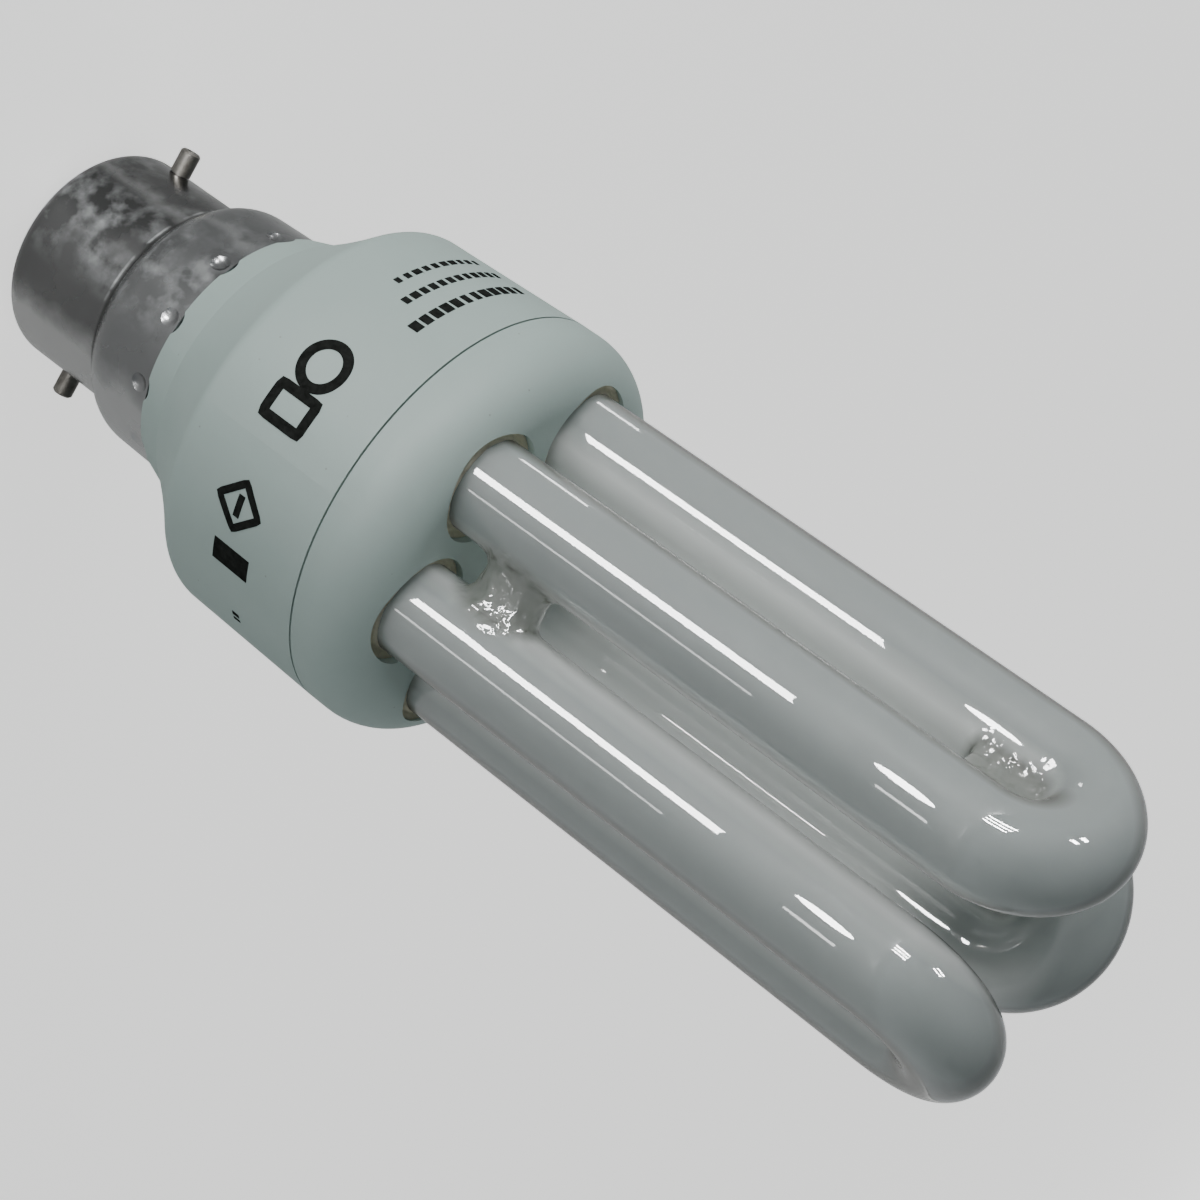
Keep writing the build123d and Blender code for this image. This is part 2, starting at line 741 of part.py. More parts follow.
# Fusible resistor in the line to one contact
fuse_top_z = board_z - fuse_drop
with BuildPart() as fusible_resistor:
    with BuildSketch(Plane.XY.offset(fuse_top_z - fuse_length)):
        with Locations((0, -supply_y)):
            Circle(fuse_radius)
    extrude(amount=fuse_length)
    fillet(fusible_resistor.edges().filter_by(GeomType.CIRCLE), fuse_radius * resistor_round_share)
    extrude(lead_spots([(0, -supply_y)], fuse_drop + lead_root), amount=fuse_drop + lead_root)
fusible_resistor.part.label = "fusible_resistor"


# Insulated wire from a start height, bent across the barrel and down to its contact
def supply_wire(side, start_z):
    stops = [
        (0, side * supply_y, start_z),
        (0, side * supply_y, level(supply_bend_height)),
        (side * contact_spacing / 2, 0, level(supply_exit_height)),
        (side * contact_spacing / 2, 0, level(contact_depth)),
    ]
    with BuildPart() as wire:
        with BuildLine() as route:
            FilletPolyline(*stops, radius=supply_bend_radius)
        with BuildSketch(Plane.XY.offset(start_z)):
            with Locations(stops[0][:2]):
                Circle(supply_radius)
        sweep(path=route.wires()[0])
    return wire.part


supply_lead_left = supply_wire(1, board_z)
supply_lead_left.label = "supply_lead_left"
supply_lead_right = supply_wire(-1, fuse_top_z - fuse_length)
supply_lead_right.label = "supply_lead_right"

# Two leads out of each electrode leg down to the board, and the posts that they are wrapped on
lead_end_z = tube_end_z - math.sqrt(tube_radius**2 - electrode_spread**2) - electrode_gap
post_offset = lead_radius + post_width / 2 + post_gap
with BuildPart() as electrode_leads:
    for electrode_angle in electrode_angles:
        for side in (-1, 1):
            across = Vector(*ring_point(side * electrode_spread, electrode_angle + 90, 0))
            foot = Vector(*ring_point(leg_circle_radius, electrode_angle, 0)) + across
            with BuildSketch(Plane.XY.offset(board_top_z)):
                with Locations(foot):
                    Circle(lead_radius)
            extrude(amount=lead_end_z - board_top_z)
electrode_leads.part.label = "electrode_leads"

with BuildPart() as wrap_posts:
    for electrode_angle in electrode_angles:
        for side in (-1, 1):
            across = Vector(*ring_point(side * electrode_spread, electrode_angle + 90, 0))
            post_radius = leg_circle_radius + post_offset
            foot = Vector(*ring_point(post_radius, electrode_angle, 0)) + across
            with BuildSketch(Plane.XY.offset(board_top_z)):
                with Locations(Location(foot, electrode_angle)):
                    Rectangle(post_width, post_width)
            extrude(amount=post_length)
wrap_posts.part.label = "wrap_posts"

pieces = [
    cap_shell.part,
    pin_left,
    pin_right,
    cap_insulator.part,
    contact_left,
    contact_right,
    ballast_housing.part,
    housing_cover.part,
    discharge_tube.part,
    tube_cement.part,
    circuit_board.part,
    electrolytic_capacitor.part,
    choke_core.part,
    choke_bobbin.part,
    choke_winding.part,
    driver_toroid.part,
    toroid_turns.part,
    transistors.part,
    rectifier_diodes,
    diac,
    tuning_capacitor,
    filter_capacitor,
    disc_capacitors,
    thermistor,
    resistors.part,
    fusible_resistor.part,
    supply_lead_left,
    supply_lead_right,
    electrode_leads.part,
    wrap_posts.part,
]
os.makedirs("parts", exist_ok=True)
for piece in pieces:
    export_step(piece, "parts/" + piece.label + ".step")
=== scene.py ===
import math

import bmesh
import bpy
import numpy
from mathutils import Matrix, Vector, noise


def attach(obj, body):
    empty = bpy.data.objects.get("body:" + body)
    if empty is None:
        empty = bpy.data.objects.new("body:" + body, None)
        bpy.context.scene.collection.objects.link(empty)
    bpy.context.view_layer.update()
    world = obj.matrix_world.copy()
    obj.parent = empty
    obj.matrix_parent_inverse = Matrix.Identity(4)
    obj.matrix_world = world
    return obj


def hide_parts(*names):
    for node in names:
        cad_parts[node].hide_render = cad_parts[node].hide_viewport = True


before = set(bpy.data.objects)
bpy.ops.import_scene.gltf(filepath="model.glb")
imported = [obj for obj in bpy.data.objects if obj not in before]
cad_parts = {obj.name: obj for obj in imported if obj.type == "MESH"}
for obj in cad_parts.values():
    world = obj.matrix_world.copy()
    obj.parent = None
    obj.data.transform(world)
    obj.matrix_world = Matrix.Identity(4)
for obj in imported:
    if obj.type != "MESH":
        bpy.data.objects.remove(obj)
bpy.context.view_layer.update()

MM = 0.001

# How bright the floor looks by itself to the camera and in the gloss of the glass
floor_glow = 1.05
floor_sheen = 0.18

# Sizes shared with the solids, in millimetres
leg_circle = 12.2
leg_radius = 4.4
bend_radius = 6.1
chord_radius = leg_circle * math.cos(math.pi / 6)
leg_end_z = 51.8
bend_z = 107.1
bridge_z = 64.0
u_angles = (60, 180, 300)
bridge_angles = (0, 240)
stub_angles = (90, 150)
stub_radius = 1.1
stub_low = 46.9
crease_z = 14.0

# Cap finish, painted reflection: how far its tones by angle wander in radians, and how far below the crease
# its painted highlight line lies, in millimetres
cap_wander = 0.30
crease_highlight_drop = 0.52

# Height and radius of the housing's printed band, at its low and its high end
body_low = (34.9, 20.05)
body_high = (50.3, 20.4)

# Blown bridges: half length, thinnest radius, how they widen and flatten, and their fillet
bridge_reach = 4.0
bridge_waist = 2.1
bridge_flare = 0.05
bridge_flatness = 0.64
bridge_fillet = 1.0

# Pinched web inside each bend: half sizes along, up and across, its place under the bend's middle
web_size = (2.0, 3.4, 1.5)
web_place = -1.4
web_round = 0.6
web_fillet = 1.5

# Plain necks that stand for the bridges before the glass is melted into one
neck_width = 3.2
neck_height = 4.2

# How the glass is melted, and its wrinkles where it was blown together
stub_fillet = 0.8
glass_grain = 0.42
longest_push = 0.8
wrinkle_sizes = (1.2, 0.6)
wrinkle_height = 0.30
wrinkle_sink = 0.04
# Width of the painted shade along the folds where a bridge or a web meets a tube
fold_shade_width = 0.22

# Cement rings round the legs
bead_inner = 4.42
bead_outer = 5.28
bead_low_z = 52.4
bead_z = 56.3
bead_lump = 0.35
bead_lump_size = 1.1

# Print: how far it stands proud and goes in, and the radius that its widths are laid out on
ink_proud = 0.03
ink_buried = 0.05
print_radius = 20.2
dash_depth = 0.09
dash_sink = 0.01


def ring_point(radius, angle, z):
    """A point at an angle in degrees round the lamp's axis."""
    turn = math.radians(angle)
    return Vector((radius * math.cos(turn), radius * math.sin(turn), z))


# Small helpers for material and geometry trees
def add_node(tree, kind, inputs=None, **settings):
    """A new node, with a link for each input that is a socket and a value for any other."""
    node = tree.nodes.new(kind)
    for name, value in settings.items():
        setattr(node, name, value)
    for key, value in (inputs or {}).items():
        if isinstance(value, bpy.types.NodeSocket):
            tree.links.new(value, node.inputs[key])
        else:
            node.inputs[key].default_value = value
    return node


def new_group(name, inputs, outputs):
    """An empty node group with its sockets."""
    tree = bpy.data.node_groups.new(name, "ShaderNodeTree")
    for socket, kind, value in inputs:
        made = tree.interface.new_socket(name=socket, in_out="INPUT", socket_type=kind)
        made.default_value = value
    for socket, kind in outputs:
        tree.interface.new_socket(name=socket, in_out="OUTPUT", socket_type=kind)
    return tree, tree.nodes.new("NodeGroupInput"), tree.nodes.new("NodeGroupOutput")


def make_blotch_group():
    """Cloudy patches from 0 to 1, with finer mottling inside them."""
    tree, given, out = new_group(
        "blotches",
        [("Scale", "NodeSocketFloat", 100.0), ("Contrast", "NodeSocketFloat", 1.0)],
        [("Mask", "NodeSocketFloat")],
    )
    place = add_node(tree, "ShaderNodeTexCoord")
    cloud = add_node(
        tree,
        "ShaderNodeTexNoise",
        {"Vector": place.outputs["Object"], "Scale": given.outputs["Scale"], "Detail": 5.0,
         "Roughness": 0.62, "Distortion": 0.4},
    )
    centred = add_node(tree, "ShaderNodeMath", {0: cloud.outputs["Fac"], 1: 0.5}, operation="SUBTRACT")
    spread = add_node(
        tree, "ShaderNodeMath", {0: centred.outputs[0], 1: given.outputs["Contrast"], 2: 0.5},
        operation="MULTIPLY_ADD", use_clamp=True,
    )
    tree.links.new(spread.outputs[0], out.inputs["Mask"])
    return tree


def make_grain_group():
    """Fine relief from two sizes of noise."""
    tree, given, out = new_group(
        "fine_grain",
        [("Scale", "NodeSocketFloat", 2000.0), ("Coarse", "NodeSocketFloat", 0.3)],
        [("Height", "NodeSocketFloat")],
    )
    place = add_node(tree, "ShaderNodeTexCoord")
    fine = add_node(
        tree, "ShaderNodeTexNoise",
        {"Vector": place.outputs["Object"], "Scale": given.outputs["Scale"], "Detail": 3.0},
    )
    wide_scale = add_node(tree, "ShaderNodeMath", {0: given.outputs["Scale"], 1: 0.12}, operation="MULTIPLY")
    wide = add_node(
        tree, "ShaderNodeTexNoise",
        {"Vector": place.outputs["Object"], "Scale": wide_scale.outputs[0], "Detail": 2.0},
    )
    both = add_node(
        tree, "ShaderNodeMath",
        {0: wide.outputs["Fac"], 1: given.outputs["Coarse"], 2: fine.outputs["Fac"]},
        operation="MULTIPLY_ADD",
    )
    tree.links.new(both.outputs[0], out.inputs["Height"])
    return tree


def make_specks_group():
    """Scattered small round specks, 1 on a speck."""
    tree, given, out = new_group(
        "specks",
        [("Scale", "NodeSocketFloat", 900.0), ("Size", "NodeSocketFloat", 0.12)],
        [("Mask", "NodeSocketFloat")],
    )
    place = add_node(tree, "ShaderNodeTexCoord")
    cells = add_node(
        tree, "ShaderNodeTexVoronoi",
        {"Vector": place.outputs["Object"], "Scale": given.outputs["Scale"]},
    )
    mask = add_node(
        tree, "ShaderNodeMapRange",
        {"Value": cells.outputs["Distance"], "From Min": given.outputs["Size"], "From Max": 0.0,
         "To Min": 0.0, "To Max": 1.0},
    )
    tree.links.new(mask.outputs["Result"], out.inputs["Mask"])
    return tree


blotches = make_blotch_group()
fine_grain = make_grain_group()
specks = make_specks_group()


def use_group(tree, group, **values):
    """The first output of a shared group."""
    node = tree.nodes.new("ShaderNodeGroup")
    node.node_tree = group
    for name, value in values.items():
        node.inputs[name].default_value = value
    return node.outputs[0]


def blend_colours(tree, mask, first, second):
    """The first colour where the mask is 0 and the second where it is 1."""
    node = add_node(tree, "ShaderNodeMix", {"Factor": mask}, data_type="RGBA")
    for index, colour in ((6, first), (7, second)):
        if isinstance(colour, bpy.types.NodeSocket):
            tree.links.new(colour, node.inputs[index])
        else:
            node.inputs[index].default_value = (*colour, 1.0)
    return node.outputs[2]


def tone_ramp(tree, value, stops):
    """A grey tone along a value from 0 to 1."""
    node = add_node(tree, "ShaderNodeValToRGB", {"Fac": value})
    ramp = node.color_ramp
    while len(ramp.elements) < len(stops):
        ramp.elements.new(1.0)
    for element, (place, tone) in zip(ramp.elements, stops):
        element.position = place
        element.color = (tone, tone, tone, 1.0)
    return node.outputs["Color"]


def round_stops(stops):
    """Stops given by an angle in degrees, as places from 0 to 1 round the lamp."""
    return [((angle + 180) / 360, tone) for angle, tone in stops]


def span(tree, mask, low, high):
    """A value that goes from low to high with the mask."""
    node = add_node(tree, "ShaderNodeMapRange", {"Value": mask, "To Min": low, "To Max": high})
    return node.outputs["Result"]


def new_material(name):
    """A material with its tree and its main shader."""
    material = bpy.data.materials.new(name)
    material.use_nodes = True
    tree = material.node_tree
    return material, tree, tree.nodes["Principled BSDF"]


def add_relief(tree, shader, height, distance, strength=1.0, socket="Normal"):
    bump = add_node(tree, "ShaderNodeBump", {"Height": height, "Distance": distance, "Strength": strength})
    tree.links.new(bump.outputs["Normal"], shader.inputs[socket])


def attribute(tree, name):
    """A value stored on the mesh."""
    return add_node(tree, "ShaderNodeAttribute", attribute_name=name).outputs["Fac"]


def multiply(tree, first, second):
    """The product of two values."""
    return add_node(tree, "ShaderNodeMath", {0: first, 1: second}, operation="MULTIPLY").outputs[0]


def mask_between(tree, value, low, high, most=1.0):
    """0 up to low, then rising to its most at high."""
    node = add_node(
        tree, "ShaderNodeMapRange", {"Value": value, "From Min": low, "From Max": high, "To Max": most}
    )
    return node.outputs["Result"]


def line_mask(tree, distance, inner, outer, most):
    """Its most within the inner distance from a line, falling to 0 at the outer one."""
    size = add_node(tree, "ShaderNodeMath", {0: distance}, operation="ABSOLUTE")
    node = add_node(
        tree, "ShaderNodeMapRange",
        {"Value": size.outputs[0], "From Min": inner, "From Max": outer, "To Min": most, "To Max": 0.0},
    )
    return node.outputs["Result"]


def plain_finish(name, light, dark, rough, metal=0.0, patch=400.0, relief=8e-6, coat=0.0):
    """A finish with patches of two colours, roughness that follows them, and fine relief."""
    material, tree, shader = new_material(name)
    mask = use_group(tree, blotches, Scale=patch, Contrast=2.2)
    tree.links.new(blend_colours(tree, mask, dark, light), shader.inputs["Base Color"])
    tree.links.new(span(tree, mask, rough[1], rough[0]), shader.inputs["Roughness"])
    shader.inputs["Metallic"].default_value = metal
    shader.inputs["Coat Weight"].default_value = coat
    shader.inputs["Coat Roughness"].default_value = 0.12
    height = use_group(tree, fine_grain, Scale=3000.0, Coarse=0.5)
    add_relief(tree, shader, height, relief)
    return material


def make_housing_plastic():
    """Pale satin plastic with a fine moulded grain and faint handling marks."""
    material, tree, shader = new_material("housing_plastic")
    mask = use_group(tree, blotches, Scale=55.0, Contrast=1.6)
    tint = blend_colours(tree, mask, (0.408, 0.510, 0.480), (0.455, 0.562, 0.530))
    marks = use_group(tree, specks, Scale=420.0, Size=0.05)
    tree.links.new(blend_colours(tree, marks, tint, (0.25, 0.27, 0.25)), shader.inputs["Base Color"])
    tree.links.new(span(tree, mask, 0.66, 0.54), shader.inputs["Roughness"])
    shader.inputs["Specular IOR Level"].default_value = 0.35
    height = use_group(tree, fine_grain, Scale=2600.0, Coarse=0.8)
    add_relief(tree, shader, height, 12e-6, 0.7)
    return material


def make_milky_glass():
    """Glass with a white coat behind it: a deep gloss over a soft grey white, with painted shade at its
    edges and folds, painted light in its crevices and a painted glow on the legs' inner sides.
    """
    material, tree, shader = new_material("milky_glass")
    mask = use_group(tree, blotches, Scale=60.0, Contrast=1.4)
    body = blend_colours(tree, mask, (0.300, 0.330, 0.324), (0.336, 0.370, 0.362))
    bare = attribute(tree, "bare_glass")
    slant = add_node(tree, "ShaderNodeLayerWeight", {"Blend": 0.5}).outputs["Facing"]
    # Painted shade: darker where the glass is seen edge-on, for the clear wall outside the white coat
    body = blend_colours(tree, mask_between(tree, slant, 0.50, 0.76, 0.95), body, (0.110, 0.110, 0.095))
    # Painted light: lighter where the glass is enclosed by glass, for light carried through the tubes
    sheltered = mask_between(tree, attribute(tree, "sheltered"), 0.08, 0.55, 0.55)
    body = blend_colours(tree, sheltered, body, (0.970, 0.985, 0.965))
    # Painted shade: a thin dark outline where the glass is seen edge-on
    body = blend_colours(tree, mask_between(tree, slant, 0.74, 0.92, 0.85), body, (0.090, 0.090, 0.078))
    body = blend_colours(tree, multiply(tree, bare, 0.80), body, (0.230, 0.242, 0.215))
    # Painted shade along the folds where a bridge or a web meets a tube
    body = blend_colours(tree, attribute(tree, "fold_line"), body, (0.080, 0.084, 0.066))
    tree.links.new(body, shader.inputs["Base Color"])
    # Painted glow: an emission on the legs' inner sides, for light that went through the white glass
    painted_glow = blend_colours(tree, attribute(tree, "inner_side"), (0.0, 0.0, 0.0), (0.96, 1.0, 0.97))
    tree.links.new(painted_glow, shader.inputs["Emission Color"])
    shader.inputs["Emission Strength"].default_value = 0.16
    shader.inputs["Roughness"].default_value = 0.55
    shader.inputs["Specular IOR Level"].default_value = 0.2
    shader.inputs["Coat Weight"].default_value = 1.0
    shader.inputs["Coat Roughness"].default_value = 0.0
    shader.inputs["Coat IOR"].default_value = 1.9
    shader.inputs["Subsurface Weight"].default_value = 1.0
    shader.inputs["Subsurface Radius"].default_value = (1.0, 1.0, 1.0)
    shader.inputs["Subsurface Scale"].default_value = 0.011
    place = add_node(tree, "ShaderNodeTexCoord").outputs["Object"]
    drawn = add_node(tree, "ShaderNodeMapping", {"Vector": place, "Scale": (1.0, 1.0, 0.08)})
    streak = add_node(
        tree, "ShaderNodeTexNoise", {"Vector": drawn.outputs[0], "Scale": 700.0, "Detail": 2.0}
    )
    ripple = add_node(tree, "ShaderNodeTexNoise", {"Vector": place, "Scale": 1000.0, "Detail": 1.0})
    height = add_node(
        tree, "ShaderNodeMath",
        {0: multiply(tree, ripple.outputs["Fac"], bare), 1: 120.0, 2: streak.outputs["Fac"]},
        operation="MULTIPLY_ADD",
    )
    add_relief(tree, shader, height.outputs[0], 4e-6, socket="Coat Normal")
    return material


def turn_round_cap(tree, place):
    """The angle round the cap from 0 to 1, wandering a little so that no painted reflection tone has a
    straight edge.
    """
    apart = add_node(tree, "ShaderNodeSeparateXYZ", {0: place})
    angle = add_node(
        tree, "ShaderNodeMath", {0: apart.outputs["Y"], 1: apart.outputs["X"]}, operation="ARCTAN2"
    )
    noise_node = add_node(tree, "ShaderNodeTexNoise", {"Vector": place, "Scale": 260.0, "Detail": 3.0})
    bent = add_node(
        tree, "ShaderNodeMath", {0: noise_node.outputs["Fac"], 1: cap_wander, 2: angle.outputs[0]},
        operation="MULTIPLY_ADD",
    )
    middle = cap_wander / 2
    return mask_between(tree, bent.outputs[0], middle - math.pi, middle + math.pi)


def make_cap_metal():
    """Plated sheet with painted reflection: tones by angle that run along it, painted highlight patches,
    painted shade in its crease and a thin painted highlight line under it.
    """
    material, tree, shader = new_material("cap_metal")
    place = add_node(tree, "ShaderNodeTexCoord").outputs["Object"]
    turn = turn_round_cap(tree, place)
    # Painted reflection: the metal's tone by angle round the cap, lighter and darker bands that stand for
    # what it reflects
    tone = tone_ramp(tree, turn, round_stops((
        (-180, 0.34), (-110, 0.24), (-88, 0.15), (-76, 0.09), (-66, 0.10), (-59, 0.13), (-54, 0.26),
        (-49, 0.09), (-34, 0.10), (-20, 0.17), (-5, 0.16), (2, 0.16), (8, 0.150), (20, 0.150), (28, 0.29),
        (34, 0.46), (62, 0.50), (95, 0.36), (130, 0.26), (180, 0.34),
    )))
    # Painted highlights: where round the cap the bright patches fall, most on the side toward the lamps
    shine = tone_ramp(tree, turn, round_stops((
        (-180, 0.15), (-62, 0.25), (-45, 0.45), (-34, 1.0), (-12, 1.0), (-2, 0.35), (6, 0.0), (30, 0.05),
        (180, 0.15),
    )))
    # Noise patches that shape the painted highlights and the roughness
    glint_patches = []
    for scale, low, high in ((520.0, 0.42, 0.70), (200.0, 0.36, 0.62)):
        cloud = add_node(tree, "ShaderNodeTexNoise", {"Vector": place, "Scale": scale, "Detail": 3.0})
        glint_patches.append(mask_between(tree, cloud.outputs["Fac"], low, high))
    small_glint_patch, wide_glint_patch = glint_patches
    # Painted highlights: bright patches of reflection mixed into the tone
    painted_glints = multiply(tree, multiply(tree, small_glint_patch, wide_glint_patch), shine)
    colour = blend_colours(tree, painted_glints, tone, (0.660, 0.670, 0.680))
    height = add_node(tree, "ShaderNodeSeparateXYZ", {0: place}).outputs["Z"]
    above = add_node(tree, "ShaderNodeMath", {0: height, 1: crease_z * MM}, operation="SUBTRACT").outputs[0]
    # Painted reflection: lighter above the crease
    colour = blend_colours(tree, mask_between(tree, above, 0.0, 0.0004, 0.24), colour, (0.45, 0.46, 0.47))
    # Painted shade: a dark line along the crease
    crease = line_mask(tree, above, 0.00015, 0.00040, 0.85)
    colour = blend_colours(tree, crease, colour, (0.060, 0.060, 0.058))
    # Painted highlight: a thin bright line below the crease, only within the painted highlight patches
    from_edge = add_node(tree, "ShaderNodeMath", {0: above, 1: crease_highlight_drop * MM}, operation="ADD")
    painted_crease_highlight = multiply(tree, line_mask(tree, from_edge.outputs[0], 0.00006, 0.00016, 2.2), painted_glints)
    colour = blend_colours(tree, painted_crease_highlight, colour, (0.80, 0.81, 0.82))
    tree.links.new(colour, shader.inputs["Base Color"])
    shader.inputs["Metallic"].default_value = 1.0
    tree.links.new(span(tree, wide_glint_patch, 0.32, 0.22), shader.inputs["Roughness"])
    height = use_group(tree, fine_grain, Scale=1600.0, Coarse=2.5)
    add_relief(tree, shader, height, 14e-6, 0.8)
    return material


def make_laminate():
    """Brown board with a faint crossing weave."""
    material, tree, shader = new_material("laminate")
    place = add_node(tree, "ShaderNodeTexCoord")
    weave = add_node(tree, "ShaderNodeTexChecker", {"Vector": place.outputs["Object"], "Scale": 2200.0})
    mask = use_group(tree, blotches, Scale=150.0, Contrast=2.0)
    tint = blend_colours(tree, mask, (0.300, 0.190, 0.085), (0.380, 0.250, 0.120))
    threads = multiply(tree, weave.outputs["Fac"], 0.18)
    tree.links.new(blend_colours(tree, threads, tint, (0.22, 0.14, 0.06)), shader.inputs["Base Color"])
    shader.inputs["Roughness"].default_value = 0.45
    add_relief(tree, shader, weave.outputs["Fac"], 6e-6, 0.5)
    return material


def make_enamel_wire():
    """Close turns of lacquered copper wire, level with the floor."""
    material, tree, shader = new_material("enamel_wire")
    place = add_node(tree, "ShaderNodeTexCoord")
    turns = add_node(
        tree, "ShaderNodeTexWave", {"Vector": place.outputs["Object"], "Scale": 1250.0, "Distortion": 0.3},
        bands_direction="Z",
    )
    mask = use_group(tree, blotches, Scale=500.0, Contrast=2.0)
    copper = blend_colours(tree, mask, (0.430, 0.130, 0.045), (0.600, 0.210, 0.080))
    colour = blend_colours(tree, turns.outputs["Fac"], (0.12, 0.035, 0.015), copper)
    tree.links.new(colour, shader.inputs["Base Color"])
    shader.inputs["Roughness"].default_value = 0.28
    shader.inputs["Metallic"].default_value = 0.6
    add_relief(tree, shader, turns.outputs["Fac"], 60e-6)
    return material


def make_ink():
    """Black pad print with thin places."""
    material, tree, shader = new_material("ink")
    mask = use_group(tree, blotches, Scale=1500.0, Contrast=2.0)
    colour = blend_colours(tree, mask, (0.010, 0.011, 0.010), (0.030, 0.032, 0.030))
    tree.links.new(colour, shader.inputs["Base Color"])
    tree.links.new(span(tree, mask, 0.7, 0.5), shader.inputs["Roughness"])
    shader.inputs["Specular IOR Level"].default_value = 0.0
    return material


def make_floor_finish():
    """Plain pale paper floor that looks lighter to the camera and a little lighter in the gloss."""
    material, tree, shader = new_material("floor_paper")
    mask = use_group(tree, blotches, Scale=6.0, Contrast=1.0)
    colour = blend_colours(tree, mask, (0.78, 0.78, 0.77), (0.80, 0.80, 0.79))
    tree.links.new(colour, shader.inputs["Base Color"])
    shader.inputs["Roughness"].default_value = 0.9
    path = add_node(tree, "ShaderNodeLightPath")
    seen = add_node(
        tree, "ShaderNodeMath", {0: path.outputs["Is Camera Ray"], 1: path.outputs["Is Transmission Ray"]},
        operation="MAXIMUM",
    )
    sheen = multiply(tree, path.outputs["Is Glossy Ray"], floor_sheen)
    glow = add_node(
        tree, "ShaderNodeMath", {0: seen.outputs[0], 1: floor_glow, 2: sheen}, operation="MULTIPLY_ADD"
    )
    shader.inputs["Emission Color"].default_value = (1.0, 1.0, 0.99, 1.0)
    tree.links.new(glow.outputs[0], shader.inputs["Emission Strength"])
    return material


housing_plastic = make_housing_plastic()
milky_glass = make_milky_glass()
cap_metal = make_cap_metal()
laminate = make_laminate()
enamel_wire = make_enamel_wire()
ink = make_ink()
pin_metal = plain_finish(
    "pin_metal", (0.30, 0.29, 0.27), (0.13, 0.12, 0.105), (0.28, 0.45), metal=1.0, patch=600.0, relief=14e-6
)
solder = plain_finish(
    "solder", (0.62, 0.62, 0.61), (0.42, 0.42, 0.42), (0.25, 0.42), metal=1.0, patch=900.0, relief=20e-6
)
insulator = plain_finish(
    "insulator", (0.045, 0.042, 0.040), (0.022, 0.020, 0.019), (0.22, 0.40), patch=500.0, coat=0.3
)
cement = plain_finish(
    "cement", (0.86, 0.84, 0.66), (0.64, 0.62, 0.48), (0.75, 0.9), patch=700.0, relief=40e-6
)
component_dark = plain_finish(
    "component_dark", (0.040, 0.042, 0.046), (0.020, 0.021, 0.023), (0.30, 0.45), patch=700.0
)
sleeve_dark = plain_finish(
    "sleeve_dark", (0.030, 0.045, 0.090), (0.018, 0.026, 0.055), (0.25, 0.35), coat=0.4
)
component_red = plain_finish(
    "component_red", (0.380, 0.060, 0.030), (0.260, 0.035, 0.018), (0.22, 0.35), patch=600.0, coat=0.5
)
ferrite = plain_finish(
    "ferrite", (0.075, 0.073, 0.072), (0.040, 0.039, 0.038), (0.55, 0.75), patch=1500.0, relief=25e-6
)
bobbin_plastic = plain_finish(
    "bobbin_plastic", (0.620, 0.590, 0.500), (0.540, 0.505, 0.410), (0.35, 0.5), patch=300.0
)
wire_sleeve = plain_finish("wire_sleeve", (0.66, 0.66, 0.64), (0.56, 0.56, 0.53), (0.35, 0.5), patch=300.0)
lead_metal = plain_finish(
    "lead_metal", (0.60, 0.60, 0.59), (0.42, 0.42, 0.41), (0.25, 0.4), metal=1.0, patch=900.0
)
resistor_paint = plain_finish(
    "resistor_paint", (0.300, 0.360, 0.330), (0.220, 0.280, 0.250), (0.3, 0.45), patch=700.0, coat=0.3
)

node_finishes = {
    "cap_shell": cap_metal,
    "bayonet_pin_left": pin_metal,
    "bayonet_pin_right": pin_metal,
    "cap_insulator": insulator,
    "contact_left": solder,
    "contact_right": solder,
    "ballast_housing": housing_plastic,
    "housing_cover": housing_plastic,
    "circuit_board": laminate,
    "electrolytic_capacitor": sleeve_dark,
    "choke_core": ferrite,
    "choke_bobbin": bobbin_plastic,
    "choke_winding": enamel_wire,
    "driver_toroid": ferrite,
    "toroid_turns": enamel_wire,
    "transistors": component_dark,
    "rectifier_diodes": component_dark,
    "diac": component_red,
    "tuning_capacitor": component_red,
    "filter_capacitor": component_red,
    "disc_capacitors": cement,
    "thermistor": component_dark,
    "resistors": resistor_paint,
    "fusible_resistor": resistor_paint,
    "supply_lead_left": wire_sleeve,
    "supply_lead_right": wire_sleeve,
    "electrode_leads": lead_metal,
    "wrap_posts": lead_metal,
}


def dress_nodes():
    """Puts each solid's finish in its slots."""
    for name, material in node_finishes.items():
        solid = bpy.data.objects[name]
        for slot in solid.material_slots:
            slot.material = material


def new_piece(name, bm, material, soft=True):
    """A visible object made from a mesh being built."""
    for face in bm.faces:
        face.smooth = soft
    mesh = bpy.data.meshes.new(name)
    bm.to_mesh(mesh)
    bm.free()
    piece = bpy.data.objects.new(name, mesh)
    bpy.context.scene.collection.objects.link(piece)
    mesh.materials.append(material)
    return piece


def skin(bm, rings, closed_ends=True):
    """Quads between rings of the same count, with a fan at each end."""
    for low, high in zip(rings, rings[1:]):
        for index in range(len(low)):
            after = (index + 1) % len(low)
            bm.faces.new((low[index], low[after], high[after], high[index]))
    if closed_ends:
        bm.faces.new(reversed(rings[0]))
        bm.faces.new(rings[-1])


# Glass: the distance to three bent tubes that two blown bridges join, softened where they meet
def u_axes(angle):
    """The directions outwards and along at an angle round the lamp."""
    return numpy.array(ring_point(1, angle, 0)), numpy.array(ring_point(1, angle + 90, 0))


